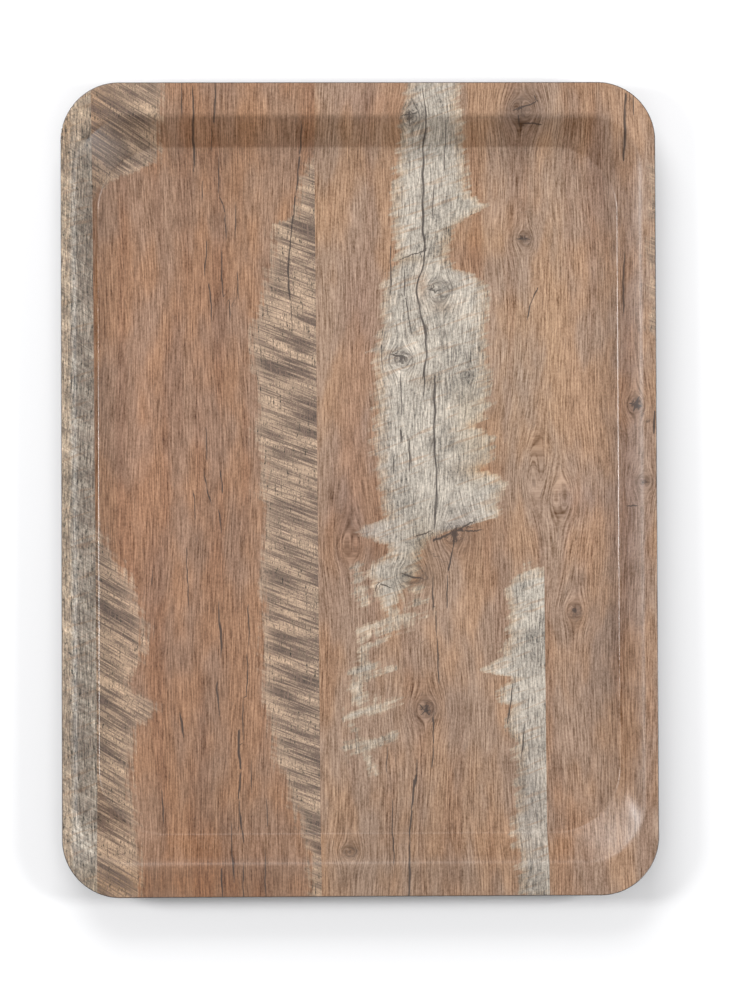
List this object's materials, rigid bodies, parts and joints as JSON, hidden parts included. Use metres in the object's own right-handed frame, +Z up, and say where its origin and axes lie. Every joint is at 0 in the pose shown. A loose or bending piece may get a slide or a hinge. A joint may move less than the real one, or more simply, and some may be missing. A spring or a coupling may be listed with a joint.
{
  "type": "serving tray",
  "caption": "Shallow rectangular serving tray with rounded corners, sloped walls, narrow side lips and a flat grip flange at each end, in rustic planked wood decor.",
  "frame": {"origin": "middle of the flat underside, on the surface that the tray rests on", "axes": "+X across the tray, +Y along its length, +Z up out of the well"},
  "size_m": [0.305, 0.417, 0.02],
  "materials": {
    "overlay": "clear satin-gloss resin film",
    "decor": "printed rustic planks: warm brown with grey-white weathered and khaki saw-marked patches, under a satin gloss",
    "core": "dark brown resin-bonded paper, trimmed edge",
    "backing": "fine satin texture"
  },
  "bodies": {
    "root": {"wear_overlay": "overlay", "decor_sheet": "decor", "core_sheet_1": "core", "core_sheet_2": "core", "core_sheet_3": "core", "backing_sheet": "backing"}
  },
  "joints": []
}
